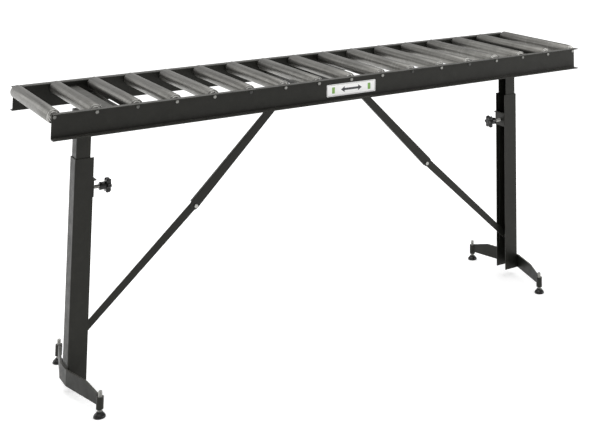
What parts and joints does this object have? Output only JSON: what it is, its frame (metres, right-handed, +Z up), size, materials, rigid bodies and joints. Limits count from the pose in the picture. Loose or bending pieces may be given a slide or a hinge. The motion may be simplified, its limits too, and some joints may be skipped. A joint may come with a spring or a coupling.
{
  "type": "gravity roller conveyor",
  "caption": "Gravity roller conveyor: free-turning rollers between two channel rails, on two height-adjustable pedestal legs with lock knobs, diagonal braces and levelling feet.",
  "frame": {"origin": "on the floor, midway along the conveyor and midway between its side rails", "axes": "+X along the conveyor, +Y across it towards the back rail, +Z up; the labelled rail faces -Y"},
  "size_m": [1.69, 0.42, 0.743],
  "materials": {
    "black_powder_coat": "black powder coat, semi-gloss with a fine orange-peel texture",
    "roller_steel": "zinc-plated steel tube, satin, with light drawn streaks",
    "bearing_steel": "ground steel",
    "zinc_plate": "bright zinc plate",
    "black_plastic": "black moulded plastic, fine grain",
    "label_film": "plain white printed film"
  },
  "bodies": {
    "conveyor_frame": {"side_rail_front": "black_powder_coat", "side_rail_back": "black_powder_coat", "rail_label": "label_film", "leg_cross_member_left": "black_powder_coat", "leg_cross_member_right": "black_powder_coat", "brace_cross_member_left": "black_powder_coat", "brace_cross_member_right": "black_powder_coat", "brace_lugs": "black_powder_coat", "inner_post_left": "black_powder_coat", "inner_post_right": "black_powder_coat", "upper_brace_left": "black_powder_coat", "upper_brace_right": "black_powder_coat", "lower_brace_left": "black_powder_coat", "lower_brace_right": "black_powder_coat", "brace_foot_pins": "zinc_plate", "brace_spacers": "zinc_plate", "frame_bolts": "zinc_plate", "frame_nuts": "zinc_plate", "roller_axles": "zinc_plate", "bearing_inner_races": "bearing_steel"},
    "roller_01_body": {"roller_01": "roller_steel"},
    "roller_02_body": {"roller_02": "roller_steel"},
    "roller_03_body": {"roller_03": "roller_steel"},
    "roller_04_body": {"roller_04": "roller_steel"},
    "roller_05_body": {"roller_05": "roller_steel"},
    "roller_06_body": {"roller_06": "roller_steel"},
    "roller_07_body": {"roller_07": "roller_steel"},
    "roller_08_body": {"roller_08": "roller_steel"},
    "roller_09_body": {"roller_09": "roller_steel"},
    "roller_10_body": {"roller_10": "roller_steel"},
    "roller_11_body": {"roller_11": "roller_steel"},
    "roller_12_body": {"roller_12": "roller_steel"},
    "roller_13_body": {"roller_13": "roller_steel"},
    "roller_14_body": {"roller_14": "roller_steel"},
    "roller_15_body": {"roller_15": "roller_steel"},
    "roller_16_body": {"roller_16": "roller_steel"},
    "roller_17_body": {"roller_17": "roller_steel"},
    "leg_left": {"outer_leg_left": "black_powder_coat", "saddle_clamp_left": "black_powder_coat", "clamp_nut_left": "zinc_plate", "foot_bar_left": "black_powder_coat", "foot_sleeves_left": "black_powder_coat"},
    "knob_left": {"lock_knob_left": "black_plastic", "knob_stud_left": "zinc_plate"},
    "levelling_foot_left_front": {"levelling_stud_left_front": "zinc_plate", "levelling_pad_left_front": "black_plastic"},
    "levelling_foot_left_back": {"levelling_stud_left_back": "zinc_plate", "levelling_pad_left_back": "black_plastic"},
    "leg_right": {"outer_leg_right": "black_powder_coat", "saddle_clamp_right": "black_powder_coat", "clamp_nut_right": "zinc_plate", "foot_bar_right": "black_powder_coat", "foot_sleeves_right": "black_powder_coat"},
    "knob_right": {"lock_knob_right": "black_plastic", "knob_stud_right": "zinc_plate"},
    "levelling_foot_right_front": {"levelling_stud_right_front": "zinc_plate", "levelling_pad_right_front": "black_plastic"},
    "levelling_foot_right_back": {"levelling_stud_right_back": "zinc_plate", "levelling_pad_right_back": "black_plastic"}
  },
  "joints": [
    {"name": "roller_01_spin", "type": "hinge", "parent": "conveyor_frame", "child": "roller_01_body", "pos_m": [-0.828, 0, 0.726], "axis": [0, 1, 0], "continuous": true},
    {"name": "roller_02_spin", "type": "hinge", "parent": "conveyor_frame", "child": "roller_02_body", "pos_m": [-0.7245, 0, 0.726], "axis": [0, 1, 0], "continuous": true},
    {"name": "roller_03_spin", "type": "hinge", "parent": "conveyor_frame", "child": "roller_03_body", "pos_m": [-0.621, 0, 0.726], "axis": [0, 1, 0], "continuous": true},
    {"name": "roller_04_spin", "type": "hinge", "parent": "conveyor_frame", "child": "roller_04_body", "pos_m": [-0.5175, 0, 0.726], "axis": [0, 1, 0], "continuous": true},
    {"name": "roller_05_spin", "type": "hinge", "parent": "conveyor_frame", "child": "roller_05_body", "pos_m": [-0.414, 0, 0.726], "axis": [0, 1, 0], "continuous": true},
    {"name": "roller_06_spin", "type": "hinge", "parent": "conveyor_frame", "child": "roller_06_body", "pos_m": [-0.3105, 0, 0.726], "axis": [0, 1, 0], "continuous": true},
    {"name": "roller_07_spin", "type": "hinge", "parent": "conveyor_frame", "child": "roller_07_body", "pos_m": [-0.207, 0, 0.726], "axis": [0, 1, 0], "continuous": true},
    {"name": "roller_08_spin", "type": "hinge", "parent": "conveyor_frame", "child": "roller_08_body", "pos_m": [-0.1035, 0, 0.726], "axis": [0, 1, 0], "continuous": true},
    {"name": "roller_09_spin", "type": "hinge", "parent": "conveyor_frame", "child": "roller_09_body", "pos_m": [0, 0, 0.726], "axis": [0, 1, 0], "continuous": true},
    {"name": "roller_10_spin", "type": "hinge", "parent": "conveyor_frame", "child": "roller_10_body", "pos_m": [0.1035, 0, 0.726], "axis": [0, 1, 0], "continuous": true},
    {"name": "roller_11_spin", "type": "hinge", "parent": "conveyor_frame", "child": "roller_11_body", "pos_m": [0.207, 0, 0.726], "axis": [0, 1, 0], "continuous": true},
    {"name": "roller_12_spin", "type": "hinge", "parent": "conveyor_frame", "child": "roller_12_body", "pos_m": [0.3105, 0, 0.726], "axis": [0, 1, 0], "continuous": true},
    {"name": "roller_13_spin", "type": "hinge", "parent": "conveyor_frame", "child": "roller_13_body", "pos_m": [0.414, 0, 0.726], "axis": [0, 1, 0], "continuous": true},
    {"name": "roller_14_spin", "type": "hinge", "parent": "conveyor_frame", "child": "roller_14_body", "pos_m": [0.5175, 0, 0.726], "axis": [0, 1, 0], "continuous": true},
    {"name": "roller_15_spin", "type": "hinge", "parent": "conveyor_frame", "child": "roller_15_body", "pos_m": [0.621, 0, 0.726], "axis": [0, 1, 0], "continuous": true},
    {"name": "roller_16_spin", "type": "hinge", "parent": "conveyor_frame", "child": "roller_16_body", "pos_m": [0.7245, 0, 0.726], "axis": [0, 1, 0], "continuous": true},
    {"name": "roller_17_spin", "type": "hinge", "parent": "conveyor_frame", "child": "roller_17_body", "pos_m": [0.828, 0, 0.726], "axis": [0, 1, 0], "continuous": true},
    {"name": "leg_left_height", "type": "slide", "parent": "conveyor_frame", "child": "leg_left", "axis": [0, 0, -1], "range_m": [-0.08, 0.25], "stiffness_N_per_m": 200000},
    {"name": "knob_left_turn", "type": "hinge", "parent": "leg_left", "child": "knob_left", "pos_m": [-0.6755, 0, 0.493], "axis": [1, 0, 0], "range_deg": [0, 330]},
    {"name": "foot_left_front_height", "type": "slide", "parent": "leg_left", "child": "levelling_foot_left_front", "axis": [0, 0, -1], "range_m": [-0.005, 0.025], "stiffness_N_per_m": 30000},
    {"name": "foot_left_back_height", "type": "slide", "parent": "leg_left", "child": "levelling_foot_left_back", "axis": [0, 0, -1], "range_m": [-0.005, 0.025], "stiffness_N_per_m": 30000},
    {"name": "leg_right_height", "type": "slide", "parent": "conveyor_frame", "child": "leg_right", "axis": [0, 0, -1], "range_m": [-0.08, 0.25], "stiffness_N_per_m": 200000},
    {"name": "knob_right_turn", "type": "hinge", "parent": "leg_right", "child": "knob_right", "pos_m": [0.6755, 0, 0.493], "axis": [-1, 0, 0], "range_deg": [0, 330]},
    {"name": "foot_right_front_height", "type": "slide", "parent": "leg_right", "child": "levelling_foot_right_front", "axis": [0, 0, -1], "range_m": [-0.005, 0.025], "stiffness_N_per_m": 30000},
    {"name": "foot_right_back_height", "type": "slide", "parent": "leg_right", "child": "levelling_foot_right_back", "axis": [0, 0, -1], "range_m": [-0.005, 0.025], "stiffness_N_per_m": 30000}
  ]
}
